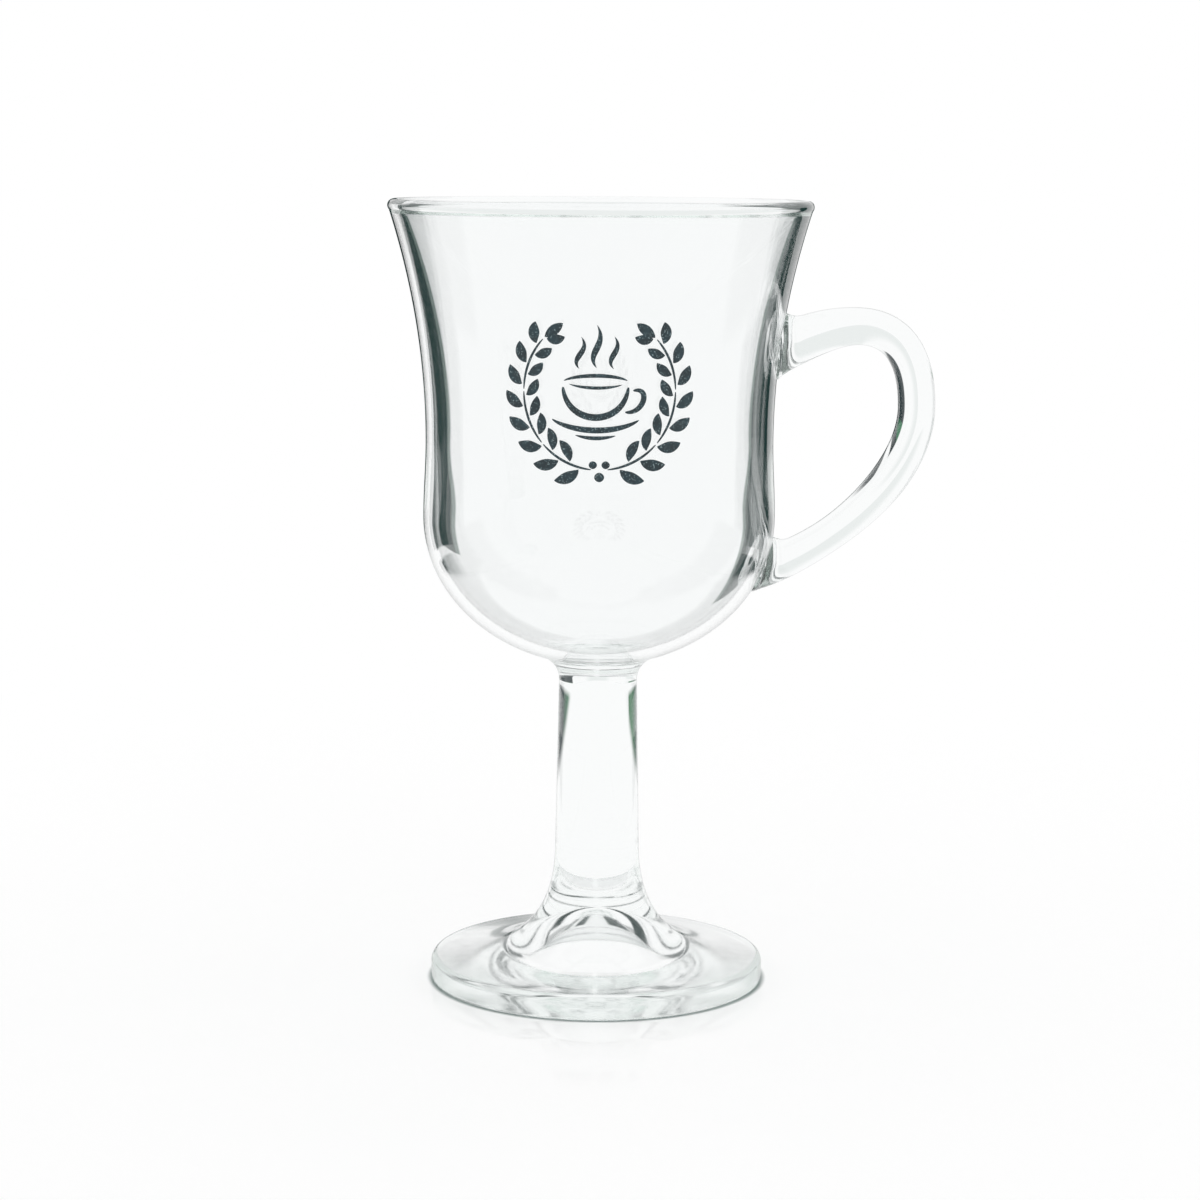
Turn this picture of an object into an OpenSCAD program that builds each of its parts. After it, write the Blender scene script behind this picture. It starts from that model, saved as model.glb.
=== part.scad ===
// Stemmed coffee glass: a flared bowl with a loop handle, on a solid stem and a round foot.
// The foot rests on z = 0, the bowl, stem and foot share the Z axis, and the handle points to +X.
// All sizes are in millimetres.

/* [Bowl] */
// Outer diameter of the rim
rim_d = 80.2; // [75:0.1:90]
// Height of the bowl from its underside to the rim
bowl_h = 88.3; // [80:0.1:105]
// Outer diameter of the waist, where the flare starts
waist_d = 66; // [62:0.1:70]
// Height of the waist above the underside of the bowl
waist_h = 43.3; // [38:0.1:50]
// Outer diameter of the belly, the widest place below the waist
belly_d = 67; // [63:0.1:72]
// Height of the belly above the underside of the bowl
belly_h = 28.3; // [24:0.1:34]
// Thickness of the wall just under the rim bead
rim_wall = 1.2; // [0.9:0.1:1.8]
// Thickness of the wall at the waist
waist_wall = 1.6; // [1.2:0.1:3]
// Thickness of the wall at the belly
belly_wall = 2; // [1.5:0.1:4]
// Thickness of the floor on the axis
floor_t = 2; // [1.5:0.1:6]
// Thickness of the rounded bead at the rim
bead_t = 2.4; // [2.3:0.1:3.2]
// How far the bead stands out of the wall
bead_proud = 0.3; // [0:0.05:0.4]

/* [Handle] */
// Height of the upper root above the underside of the bowl
upper_root_h = 60.4; // [54:0.1:68]
// Height of the lower root above the underside of the bowl
lower_root_h = 18.6; // [14:0.1:24]
// Height above the underside of the bowl at which the loop stands out furthest
loop_h = 49.5; // [42:0.1:56]
// Distance from the waist to the middle of the strap where the loop stands out furthest
loop_reach = 27.1; // [22:0.1:36]
// Thickness of the strap at the grip, seen from the side
grip_t = 7; // [5:0.1:9]
// Width of the strap at the grip, seen from the front
grip_w = 9; // [7:0.1:12]
// Thickness of the slimmest place of the lower arm
arm_t = 6.3; // [4.5:0.1:7]
// Thickness of the strap at its upper root
upper_root_t = 8.8; // [7:0.1:11]
// Thickness of the strap at its lower root
lower_root_t = 7; // [5.5:0.1:9]
// Width of the strap at both roots
root_w = 9.6; // [8:0.1:13]
// How far the strap spreads on each side where it meets the bowl
root_spread = 1.6; // [0.5:0.1:2.5]
// Distance from the bowl at which the strap starts to spread
root_run = 3.5; // [2:0.1:5]

/* [Stem] */
// Length of the stem from the foot to the underside of the bowl
stem_h = 44.7; // [30:0.1:65]
// Diameter of the stem at its top
stem_top_d = 14.9; // [12:0.1:18]
// Diameter of the stem where the flare starts
stem_low_d = 16.2; // [13:0.1:20]
// Width of the collar that rounds the stem into the bowl
collar_w = 3.6; // [1:0.1:4.5]
// How far the collar reaches down the stem
collar_h = 3.3; // [2:0.1:6]

/* [Foot] */
// Outer diameter of the foot
foot_d = 64.2; // [58:0.1:76]
// Height of the foot's edge
edge_h = 4.8; // [3.5:0.1:6]
// Height at which the sloping top of the foot would meet the stem
crown_h = 7.5; // [6.5:0.1:9]
// Height above the floor at which the flare starts
flare_h = 26; // [22:0.1:34]
// Diameter at which the flare ends on the top of the foot
flare_d = 48; // [40:0.1:54]
// Height of the face on which the stem stands
joint_h = 17; // [14.5:0.1:20]
// Radius of the foot's upper edge
edge_round = 1.4; // [0.6:0.1:2]
// Radius of the foot's lower edge
base_round = 0.6; // [0.3:0.1:1]
// Diameter of the bell-shaped dimple underneath
dimple_d = 33; // [28:0.1:44]
// Height of the dimple on the axis
dimple_h = 13; // [8:0.1:14]

/* [Hidden] */

glass_tint = [0.84, 0.91, 0.89];
// Overrun of every cut
cut = 1;

rim_r = rim_d / 2;
waist_r = waist_d / 2;
belly_r = belly_d / 2;
bead_r = bead_t / 2;
bowl_z = joint_h + stem_h;

// Steps of each stretch of an outline
curve_steps = 18;
bead_steps = 12;
blend_steps = 8;
bell_steps = 14;
edge_steps = 6;

// The outer wall ends on the bead this angle below the bead's centre, and the inner wall at the other one
bead_at = [rim_r - bead_r, bowl_h - bead_r];
outer_angle = acos(1 - bead_proud / bead_r);
inner_angle = acos((bead_proud + rim_wall) / bead_r - 1);
function bead_point(a) = bead_at + bead_r * [cos(a), sin(a)];
outer_top = bead_point(-outer_angle);
inner_top = bead_point(180 + inner_angle);

// Radius of the flare at a height above the waist: a parabola that leaves the waist upright and ends
// at a point
function flare_out(r, top, h) = r + (top[0] - r) * pow(h / (top[1] - waist_h), 2);

// Soft wave between two values, at a share of the way
function wave(from, to, share) = to + (from - to) * (1 + cos(180 * share)) / 2;

// One side of the wall: a quarter ellipse up to the belly, a soft wave to the waist, and the flare.
// Heights are above the underside of the bowl.
function side(floor_h, low_r, mid_r, top) = concat(
    [for (i = [0 : curve_steps]) let (a = 90 * i / curve_steps)
        [low_r * sin(a), belly_h - (belly_h - floor_h) * cos(a)]],
    [for (i = [1 : blend_steps]) let (s = i / blend_steps)
        [wave(low_r, mid_r, s), belly_h + (waist_h - belly_h) * s]],
    [for (i = [1 : curve_steps]) let (h = (top[1] - waist_h) * i / curve_steps)
        [flare_out(mid_r, top, h), waist_h + h]]);

outer_side = side(0, belly_r, waist_r, outer_top);
inner_side = side(floor_t, belly_r - belly_wall, waist_r - waist_wall, inner_top);

// Outer radius of the bowl at a height above its underside
function bowl_r(h) = h < belly_h ? belly_r * sqrt(1 - pow(1 - h / belly_h, 2))
    : h < waist_h ? wave(belly_r, waist_r, (h - belly_h) / (waist_h - belly_h))
    : flare_out(waist_r, outer_top, h - waist_h);

module bowl() {
    bead_turn = 180 + outer_angle + inner_angle;
    color(glass_tint)
    translate([0, 0, bowl_z])
    rotate_extrude($fn = 96)
    polygon(concat(
        outer_side,
        [for (i = [1 : bead_steps]) bead_point(bead_turn * i / bead_steps - outer_angle)],
        reversed([for (i = [0 : len(inner_side) - 2]) inner_side[i]])));
}

// The bowl without its hollow, which cuts the stem and the handle to fit it
module bowl_body() {
    translate([0, 0, bowl_z])
    rotate_extrude($fn = 96)
    polygon(concat(outer_side, [[0, outer_top[1]]]));
}

// Handle: a loft along two Bezier curves in the XZ plane, from the upper root round the loop to the
// lower root
upper_root = [bowl_r(upper_root_h), upper_root_h];
lower_root = [bowl_r(lower_root_h), lower_root_h];
loop_at = [waist_r + loop_reach, loop_h];

// Ends of the tangents of both curves, as shares of the spans between the roots and the loop's
// furthest point
upper_pull_share = [0.61, 0.77];
loop_up_share = 1.46;
loop_down_share = 0.4;
lower_pull_share = [0.53, 0.185];
upper_span = [loop_at[0] - upper_root[0], upper_root[1] - loop_at[1]];
lower_span = [loop_at[0] - lower_root[0], loop_at[1] - lower_root[1]];
upper_pull = [upper_pull_share[0] * upper_span[0], upper_pull_share[1] * upper_span[1]];
lower_pull = [lower_pull_share[0] * lower_span[0], lower_pull_share[1] * lower_span[1]];
loop_up = [0, loop_up_share * upper_span[1]];
loop_down = [0, loop_down_share * lower_span[1]];
upper_curve = [upper_root, upper_root + upper_pull, loop_at + loop_up, loop_at];
lower_curve = [lower_root, lower_root + lower_pull, loop_at - loop_down, loop_at];

function bezier(p, t) = pow(1 - t, 3) * p[0] + 3 * pow(1 - t, 2) * t * p[1]
    + 3 * (1 - t) * t * t * p[2] + pow(t, 3) * p[3];
function unit(v) = v / norm(v);
function reversed(list) = [for (i = [len(list) - 1 : -1 : 0]) list[i]];

// Steps along each curve, closer together near the root, and steps of the ends that run on into the bowl
loft_steps = 28;
crowding = 1.6;
bury_steps = 7;
ring_steps = 24;
// How far each end runs into the bowl before the bowl cuts it, as a share of the belly
bury_share = 0.42;

// From deep inside the bowl to the loop's furthest point, with the share of the way from the root
function arm(curve, pull) = concat(
    [for (i = [0 : bury_steps - 1]) curve[0] - (1 - i / bury_steps) * bury_share * belly_r * unit(pull)],
    [for (i = [0 : loft_steps]) bezier(curve, pow(i / loft_steps, crowding))]);
arm_points = bury_steps + loft_steps + 1;
strap_line = concat(arm(upper_curve, upper_pull),
    reversed([for (i = [0 : arm_points - 2]) arm(lower_curve, lower_pull)[i]]));
last = len(strap_line) - 1;

// Share of the way from the upper root, which is 0, over the furthest point, 0.5, to the lower root, 1
function arm_share(i) = pow(max(i - bury_steps, 0) / loft_steps, crowding) / 2;
function way_share(k) = k < arm_points ? arm_share(k) : 1 - arm_share(last - k);

// Thickness and width at shares of the way, with soft changes between them
strap_shares = [0, 0.2, 0.66, 0.86, 1];
strap_t = [upper_root_t, grip_t, grip_t, arm_t, lower_root_t];
strap_w = [root_w, grip_w, grip_w, grip_w, root_w];
function soft(s) = s * s * (3 - 2 * s);
function along(values, s, k = 0) = let (from = strap_shares[k], to = strap_shares[k + 1])
    k + 2 < len(strap_shares) && s > to ? along(values, s, k + 1)
    : values[k] + (values[k + 1] - values[k]) * soft((s - from) / (to - from));

// Outward normal of the bowl's outside at a height, in the plane through the axis
slope_step_share = 0.01;
function bowl_normal(h) = let (rise = slope_step_share * bowl_h)
    unit([2 * rise, bowl_r(h - rise) - bowl_r(h + rise)]);

// The strap spreads where its surface comes close to the bowl: most in a sharp corner, and not at all
// where the corner between strap and bowl is wide.
corner_share = 1.3;
most_share = 2;
spread_power = 2.5;
function spread(d) = root_spread * pow(1 - min(max(d, 0), root_run) / root_run, spread_power);
function clearance(p) = norm([p[0], p[1]]) - bowl_r(p[2]);
function growth(p, facing) = spread(clearance(p))
    * min(max(1 - corner_share * facing * bowl_normal(p[2]), 0), most_share);

// Squareness of the strap's section, where 1 is an ellipse and less is squarer
section_share = 0.86;
function signed_pow(v, e) = sign(v) * pow(abs(v), e);
function ring_point(at, way, y, n) = [at[0] - n * way[1], y, at[1] + n * way[0]];
function ring(k) = let (
        at = strap_line[k],
        way = unit(strap_line[min(k + 1, last)] - strap_line[max(k - 1, 0)]),
        half_t = along(strap_t, way_share(k)) / 2,
        half_w = along(strap_w, way_share(k)) / 2)
    [for (i = [0 : ring_steps - 1]) let (
            a = 360 * i / ring_steps,
            y = half_w * signed_pow(cos(a), section_share),
            n = half_t * signed_pow(sin(a), section_share),
            grow = growth(ring_point(at, way, y, n), sin(a) * [-way[1], way[0]]))
        ring_point(at, way, y + grow * cos(a), n + grow * sin(a))];

module strap() {
    points = [for (k = [0 : last]) each ring(k)];
    sides = [for (k = [0 : last - 1]) for (i = [0 : ring_steps - 1]) let (
            j = (i + 1) % ring_steps,
            a = k * ring_steps,
            b = a + ring_steps)
        each [[a + i, b + j, a + j], [a + i, b + i, b + j]]];
    start = [for (i = [0 : ring_steps - 1]) i];
    end = [for (i = [0 : ring_steps - 1]) (last + 1) * ring_steps - 1 - i];
    polyhedron(points, concat(sides, [start, end]));
}

module handle() {
    color(glass_tint)
    difference() {
        translate([0, 0, bowl_z]) strap();
        bowl_body();
    }
}

// Flare between stem and foot: a parabola whose end tangents are the stem's side and the foot's
// sloping top
foot_r = foot_d / 2;
dimple_r = dimple_d / 2;
top_slope = (crown_h - edge_h) / (foot_r - stem_low_d / 2);
slope_angle = atan(top_slope);
edge_at = [foot_r - edge_round, edge_h - edge_round];
edge_top = edge_at + edge_round * [sin(slope_angle), cos(slope_angle)];

// Radius of the stem's tapered side at a height above the floor
function stem_r(z) =
    (stem_low_d + (stem_top_d - stem_low_d) * (z - flare_h) / (bowl_z - flare_h)) / 2;
flare_top = [stem_r(flare_h), flare_h];
flare_bend = [stem_r(crown_h), crown_h];
flare_share = (flare_d / 2 - flare_bend[0]) / (edge_top[0] - flare_bend[0]);
flare_end = flare_bend + flare_share * (edge_top - flare_bend);
function bend(from, by, to, t) = pow(1 - t, 2) * from + 2 * t * (1 - t) * by + t * t * to;
function flare(t) = bend(flare_top, flare_bend, flare_end, t);

// Place on the parabola that has the joint's height
flare_a = flare_top[1] - 2 * flare_bend[1] + flare_end[1];
flare_b = flare_top[1] - flare_bend[1];
joint_t = (flare_b - sqrt(flare_b * flare_b - flare_a * (flare_top[1] - joint_h))) / flare_a;

// Height of the bowl's underside at a radius
function under_z(r) = bowl_z + belly_h * (1 - sqrt(1 - pow(r / belly_r, 2)));

module stem() {
    top_r = stem_top_d / 2;
    collar_r = top_r + collar_w;
    collar_end = [collar_r, under_z(collar_r)];
    low_z = bowl_z - collar_h;
    color(glass_tint)
    difference() {
        rotate_extrude($fn = 72)
        polygon(concat(
            [[0, joint_h]],
            [for (i = [0 : curve_steps]) flare(joint_t * (1 - i / curve_steps))],
            [for (i = [0 : blend_steps])
                bend([stem_r(low_z), low_z], [top_r, bowl_z], collar_end, i / blend_steps)],
            [collar_end + [0, cut], [0, collar_end[1] + cut]]));
        bowl_body();
    }
}

module foot() {
    color(glass_tint)
    rotate_extrude($fn = 96)
    polygon(concat(
        [[0, joint_h]],
        [for (i = [0 : curve_steps]) flare(joint_t + (1 - joint_t) * i / curve_steps)],
        [for (i = [0 : edge_steps]) let (a = (90 - slope_angle) * (1 - i / edge_steps))
            edge_at + edge_round * [cos(a), sin(a)]],
        [for (i = [0 : edge_steps]) let (a = 90 * i / edge_steps)
            [foot_r - base_round, base_round] + base_round * [cos(a), -sin(a)]],
        [for (i = [0 : bell_steps]) let (s = 1 - i / bell_steps)
            [dimple_r * s, wave(dimple_h, 0, s)]]));
}

bowl();
handle();
stem();
foot();
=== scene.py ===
from math import cos, radians, sin

import bpy
import numpy as np
from mathutils import Matrix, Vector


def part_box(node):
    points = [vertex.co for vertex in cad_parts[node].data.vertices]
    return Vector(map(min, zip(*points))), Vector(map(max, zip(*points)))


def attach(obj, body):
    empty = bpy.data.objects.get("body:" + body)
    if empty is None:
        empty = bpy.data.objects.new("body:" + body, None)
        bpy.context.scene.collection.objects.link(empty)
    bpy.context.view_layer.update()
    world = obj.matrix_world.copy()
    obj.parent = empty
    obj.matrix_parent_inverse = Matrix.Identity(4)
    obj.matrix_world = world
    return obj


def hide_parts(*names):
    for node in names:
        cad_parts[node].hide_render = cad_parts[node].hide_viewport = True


# A clear stemmed coffee glass: pressed bowl, drawn handle, solid stem and foot, and a fired print on the
# front. Lengths are millimetres unless a name or a note says otherwise, and become metres when a mesh is
# made.
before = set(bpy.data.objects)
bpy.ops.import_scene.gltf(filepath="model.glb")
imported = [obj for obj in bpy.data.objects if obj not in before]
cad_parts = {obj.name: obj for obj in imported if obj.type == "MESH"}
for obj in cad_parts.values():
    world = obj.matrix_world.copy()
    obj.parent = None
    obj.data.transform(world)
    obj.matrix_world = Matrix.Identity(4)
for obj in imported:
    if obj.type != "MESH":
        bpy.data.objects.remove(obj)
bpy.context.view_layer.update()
mm = 0.001
bodyName = "root"
weldGap = 0.01  # air left between two fused pieces, so that no two faces share one place
print("frame loaded:", ", ".join(sorted(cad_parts)))


# Meshes

def signedVolume(points, triangles):
    # Sum of a . (b x c) / 6 over the triangles, which is below zero where the faces point inwards
    a, b, c = (points[triangles[:, k]] for k in range(3))
    return np.einsum("ij,ij->i", a, np.cross(b, c)).sum() / 6


def closedPiece(name, rings, weldDepth=None, sharpAngle=35):
    # Stacks of rings of points (stacks, count, around, 3), or one stack: neighbouring rings are joined by
    # quads, and the first and last ring become one point each, so every stack closes like a globe
    rings = rings.reshape(-1, *rings.shape[-3:])
    stacks, count, around = rings.shape[:3]
    poles = rings[:, [0, -1]].mean(2)
    points = np.concatenate([poles[:, :1], rings[:, 1:-1].reshape(stacks, -1, 3), poles[:, 1:]], 1)
    perStack = points.shape[1]
    here = np.arange(around)
    after = (here + 1) % around
    start = 1 + np.arange(count - 3)[:, None] * around
    corners = [start + here, start + after, start + around + after, start + around + here]
    quads = np.stack(corners, -1).reshape(-1, 4)
    lastRing = 1 + (count - 3) * around
    firstFan = np.stack([0 * here, 1 + after, 1 + here], -1)
    lastFan = np.stack([0 * here + perStack - 1, lastRing + here, lastRing + after], -1)
    shift = np.arange(stacks)[:, None, None] * perStack
    points = points.reshape(-1, 3)
    quads = (quads + shift).reshape(-1, 4)
    fans = (np.vstack([firstFan, lastFan]) + shift).reshape(-1, 3)
    triangles = np.vstack([quads[:, [0, 1, 2]], quads[:, [0, 2, 3]], fans])
    if signedVolume(points, triangles) < 0:
        quads, fans = quads[:, ::-1], fans[:, ::-1]
    mesh = bpy.data.meshes.new(name)
    mesh.from_pydata((points * mm).tolist(), [], quads.tolist() + fans.tolist())
    mesh.polygons.foreach_set("use_smooth", np.ones(len(mesh.polygons), bool))
    mesh.set_sharp_from_angle(angle=radians(sharpAngle))
    if weldDepth is not None:
        depth = np.concatenate([weldDepth[0, :1], weldDepth[1:-1].ravel(), weldDepth[-1, :1]])
        attribute = mesh.attributes.new("weldDepth", "FLOAT", "POINT")
        attribute.data.foreach_set("value", depth.astype(np.float32))
    mesh.update()
    piece = bpy.data.objects.new(name, mesh)
    bpy.context.scene.collection.objects.link(piece)
    print(f"{name}: {len(triangles)} triangles, {abs(signedVolume(points, triangles)) / 1000:.3f} ml")
    return piece


def revolved(outline, around):
    # An outline of (radius, height) points turned about the Z axis
    angle = np.linspace(0, 2 * np.pi, around, endpoint=False)
    radius, height = outline[:, :1], outline[:, 1:]
    return np.stack([radius * np.cos(angle), radius * np.sin(angle), height + 0 * angle], -1)


def bend(start, by, end, t):
    # A parabola from start to end, whose end tangents meet at by
    t = np.asarray(t)[:, None]
    return (1 - t) ** 2 * np.array(start) + 2 * t * (1 - t) * np.array(by) + t ** 2 * np.array(end)


def wave(start, end, share):
    # Half a cosine from start to end
    return end + (start - end) * (1 + np.cos(np.pi * share)) / 2


# Bowl: heights are above its underside

bowlLow, bowlHigh = (np.array(corner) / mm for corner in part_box("bowl"))
bowlZ = bowlLow[2]
lift = np.array([0, 0, bowlZ])
bowl = {
    "rimRadius": bowlHigh[1],
    "rimHeight": bowlHigh[2] - bowlLow[2],
    "waistRadius": 33.0,
    "waistHeight": 43.3,
    "bellyRadius": 33.5,
    "bellyHeight": 28.3,
    "rimWall": 1.2,
    "waistWall": 1.6,
    "bellyWall": 2.0,
    "floor": 2.0,
    "beadRadius": 1.2,
    "beadProud": 0.3,
    "around": 288,
    "floorSteps": 80,
    "waistSteps": 20,
    "flareSteps": 48,
    "beadSteps": 34,
    "slopeRise": 0.01,  # share of its height
}

beadAt = np.array([bowl["rimRadius"] - bowl["beadRadius"], bowl["rimHeight"] - bowl["beadRadius"]])
outerAngle = np.arccos(1 - bowl["beadProud"] / bowl["beadRadius"])
innerAngle = np.arccos((bowl["beadProud"] + bowl["rimWall"]) / bowl["beadRadius"] - 1)


def beadPoint(angle):
    return beadAt + bowl["beadRadius"] * np.stack([np.cos(angle), np.sin(angle)], -1)


outerTop = beadPoint(-outerAngle)
innerTop = beadPoint(np.pi + innerAngle)


def flareRadius(radius, top, height):
    # A parabola that leaves the waist upright and ends at top
    share = (height - bowl["waistHeight"]) / (top[1] - bowl["waistHeight"])
    return radius + (top[0] - radius) * share ** 2


def bowlRadius(height):
    # Outside of the bowl: quarter ellipse up to the belly, soft wave to the waist, then the flare
    belly, waist = bowl["bellyHeight"], bowl["waistHeight"]
    low = bowl["bellyRadius"] * np.sqrt(np.clip(1 - (1 - height / belly) ** 2, 0, 1))
    middle = wave(bowl["bellyRadius"], bowl["waistRadius"], (height - belly) / (waist - belly))
    flare = flareRadius(bowl["waistRadius"], outerTop, height)
    return np.where(height < belly, low, np.where(height < waist, middle, flare))


def bowlSide(floorHeight, lowRadius, midRadius, top):
    # One side of the wall from the axis to the bead, as (radius, height) points
    belly, waist = bowl["bellyHeight"], bowl["waistHeight"]
    angle = np.linspace(0, np.pi / 2, bowl["floorSteps"])
    share = np.linspace(0, 1, bowl["waistSteps"])[1:]
    height = waist + (top[1] - waist) * np.linspace(0, 1, bowl["flareSteps"])[1:]
    return np.vstack([
        np.stack([lowRadius * np.sin(angle), belly - (belly - floorHeight) * np.cos(angle)], -1),
        np.stack([wave(lowRadius, midRadius, share), belly + (waist - belly) * share], -1),
        np.stack([flareRadius(midRadius, top, height), height], -1),
    ])


def undersideHeight(radius):
    # Height of the bowl's outside where it has this radius, below the belly
    return bowl["bellyHeight"] * (1 - np.sqrt(1 - (radius / bowl["bellyRadius"]) ** 2))


# Handle: heights are above the bowl's underside, as for the bowl

handle = {
    "upperRoot": 60.4,
    "lowerRoot": 18.6,
    "loopHeight": 49.5,
    "loopReach": 27.1,
    "upperPull": (0.61, 0.77),  # tangents' ends, as shares of the spans to the loop's furthest point
    "loopUp": 1.46,
    "loopDown": 0.4,
    "lowerPull": (0.53, 0.185),
    "at": (0, 0.2, 0.66, 0.86, 1),  # shares of the way from the upper root to the lower one
    "thick": (8.8, 7.0, 7.0, 6.3, 7.0),
    "wide": (9.6, 9.0, 9.0, 9.0, 9.6),
    "squareness": 0.86,  # 1 is an ellipse and less is squarer
    "spread": 1.6,
    "spreadRun": 3.5,
    "spreadPower": 2.5,
    "corner": 1.3,
    "mostCorner": 2,
    "bury": 14.07,  # how far each end's straight run goes on for one step of the way
    "searchIn": 0.6,  # where a root is looked for, as steps of the way inside and outside the curve's end
    "searchOut": 0.5,
    "halvings": 40,
    "rings": 230,
    "crowding": 0.8,  # how much closer the rings lie near both roots
    "around": 128,
    "capRings": 8,
    "rootReach": 14,  # further than this from a root's middle the bowl has no fused points
}

upperRoot = np.array([bowlRadius(handle["upperRoot"]), handle["upperRoot"]])
lowerRoot = np.array([bowlRadius(handle["lowerRoot"]), handle["lowerRoot"]])
loopAt = np.array([bowl["waistRadius"] + handle["loopReach"], handle["loopHeight"]])
upperSpan = np.array([loopAt[0] - upperRoot[0], upperRoot[1] - loopAt[1]])
lowerSpan = np.array([loopAt[0] - lowerRoot[0], loopAt[1] - lowerRoot[1]])
upperPull = np.array(handle["upperPull"]) * upperSpan
lowerPull = np.array(handle["lowerPull"]) * lowerSpan
overLoop = loopAt + [0, handle["loopUp"] * upperSpan[1]]
underLoop = loopAt - [0, handle["loopDown"] * lowerSpan[1]]
upperCurve = np.array([upperRoot, upperRoot + upperPull, overLoop, loopAt])
lowerCurve = np.array([lowerRoot, lowerRoot + lowerPull, underLoop, loopAt])


def cubic(points, t):
    # Cubic Bezier curve and its slope
    t = t[..., None]
    a, b, c, d = points
    place = (1 - t) ** 3 * a + 3 * (1 - t) ** 2 * t * b + 3 * (1 - t) * t ** 2 * c + t ** 3 * d
    slope = 3 * ((1 - t) ** 2 * (b - a) + 2 * (1 - t) * t * (c - b) + t ** 2 * (d - c))
    return place, slope


def unit(v):
    return v / np.linalg.norm(v, axis=-1, keepdims=True)


def strapLine(way):
    # Middle of the strap and its direction in the XZ plane: way runs from 0 at the upper root over 1 at the
    # furthest point to 2 at the lower root, and on in a straight line into the bowl at both ends
    upper, upperSlope = cubic(upperCurve, np.clip(way, 0, 1))
    lower, lowerSlope = cubic(lowerCurve, np.clip(2 - way, 0, 1))
    first = way[..., None] < 1
    place = np.where(first, upper, lower)
    slope = unit(np.where(first, upperSlope, -lowerSlope))
    past = np.minimum(way, 0) + np.maximum(way - 2, 0)
    return place + handle["bury"] * past[..., None] * slope, slope


def along(values, way):
    # Sizes at shares of the way, with soft changes between them
    share = np.clip(way, 0, 2) / 2
    k = np.clip(np.searchsorted(handle["at"], share, side="left") - 1, 0, len(values) - 2)
    at, values = np.array(handle["at"]), np.array(values)
    s = (share - at[k]) / (at[k + 1] - at[k])
    return values[k] + (values[k + 1] - values[k]) * s * s * (3 - 2 * s)


def bowlNormal(height):
    # Direction across the bowl's outside at this height, as (outward, up), from its slope over a short rise
    rise = bowl["slopeRise"] * bowl["rimHeight"]
    below, above = bowlRadius(height - rise), bowlRadius(height + rise)
    return unit(np.stack([2 * rise + 0 * height, below - above], -1))


def strapPoint(way, angle):
    # Skin of the strap: a rounded oblong round its middle line, which spreads where it comes close to the
    # bowl, most in a sharp corner between the two
    at, slope = strapLine(way)
    squared = [np.sign(v) * np.abs(v) ** handle["squareness"] for v in (np.cos(angle), np.sin(angle))]
    y = along(handle["wide"], way) / 2 * squared[0]
    n = along(handle["thick"], way) / 2 * squared[1]
    x, z = at[..., 0] - n * slope[..., 1], at[..., 1] + n * slope[..., 0]
    clearance = np.hypot(x, y) - bowlRadius(z)
    near = (1 - np.clip(clearance, 0, handle["spreadRun"]) / handle["spreadRun"]) ** handle["spreadPower"]
    normal = bowlNormal(z)
    facing = np.sin(angle) * (slope[..., 0] * normal[..., 1] - slope[..., 1] * normal[..., 0])
    grow = handle["spread"] * near * np.clip(1 - handle["corner"] * facing, 0, handle["mostCorner"])
    y, n = y + grow * np.cos(angle), n + grow * np.sin(angle)
    return np.stack([at[..., 0] - n * slope[..., 1], y, at[..., 1] + n * slope[..., 0]], -1)


def rootWay(inside, outside, angle):
    # Where each strand of the strap leaves the bowl, by halving the stretch between a place inside it and
    # one outside it
    inside, outside = inside + 0 * angle, outside + 0 * angle
    for _ in range(handle["halvings"]):
        middle = (inside + outside) / 2
        p = strapPoint(middle, angle)
        out = np.hypot(p[..., 0], p[..., 1]) > bowlRadius(p[..., 2]) + weldGap
        inside, outside = np.where(out, inside, middle), np.where(out, middle, outside)
    return outside


def rootCap(rim):
    # The fused end of the strap: rings that shrink from its rim to their middle, all on the bowl's outside
    turn, height = np.arctan2(rim[:, 1], rim[:, 0]), rim[:, 2]
    share = np.linspace(0, 1, handle["capRings"] + 1)[:-1, None]
    turn = turn.mean() + share * (turn - turn.mean())
    height = height.mean() + share * (height - height.mean())
    radius = bowlRadius(height) + weldGap
    return np.stack([radius * np.cos(turn), radius * np.sin(turn), height], -1)


strapAngle = np.linspace(0, 2 * np.pi, handle["around"], endpoint=False)
upperEnd = rootWay(-handle["searchIn"], handle["searchOut"], strapAngle)
lowerEnd = rootWay(2 + handle["searchIn"], 2 - handle["searchOut"], strapAngle)
t = np.linspace(0, 1, handle["rings"])[:, None]
crowded = t - handle["crowding"] * np.sin(2 * np.pi * t) / (2 * np.pi)
strands = strapPoint(upperEnd + (lowerEnd - upperEnd) * crowded, strapAngle + 0 * crowded)
upperRim, lowerRim = strands[0], strands[-1]
handleRings = np.concatenate([rootCap(upperRim), strands, rootCap(lowerRim)[::-1]])
handleWeld = np.full(handleRings.shape[:2], -1.0)
handleWeld[:handle["capRings"]] = handleWeld[-handle["capRings"]:] = 1
handleWeld[[handle["capRings"], -handle["capRings"] - 1]] = 0


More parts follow.
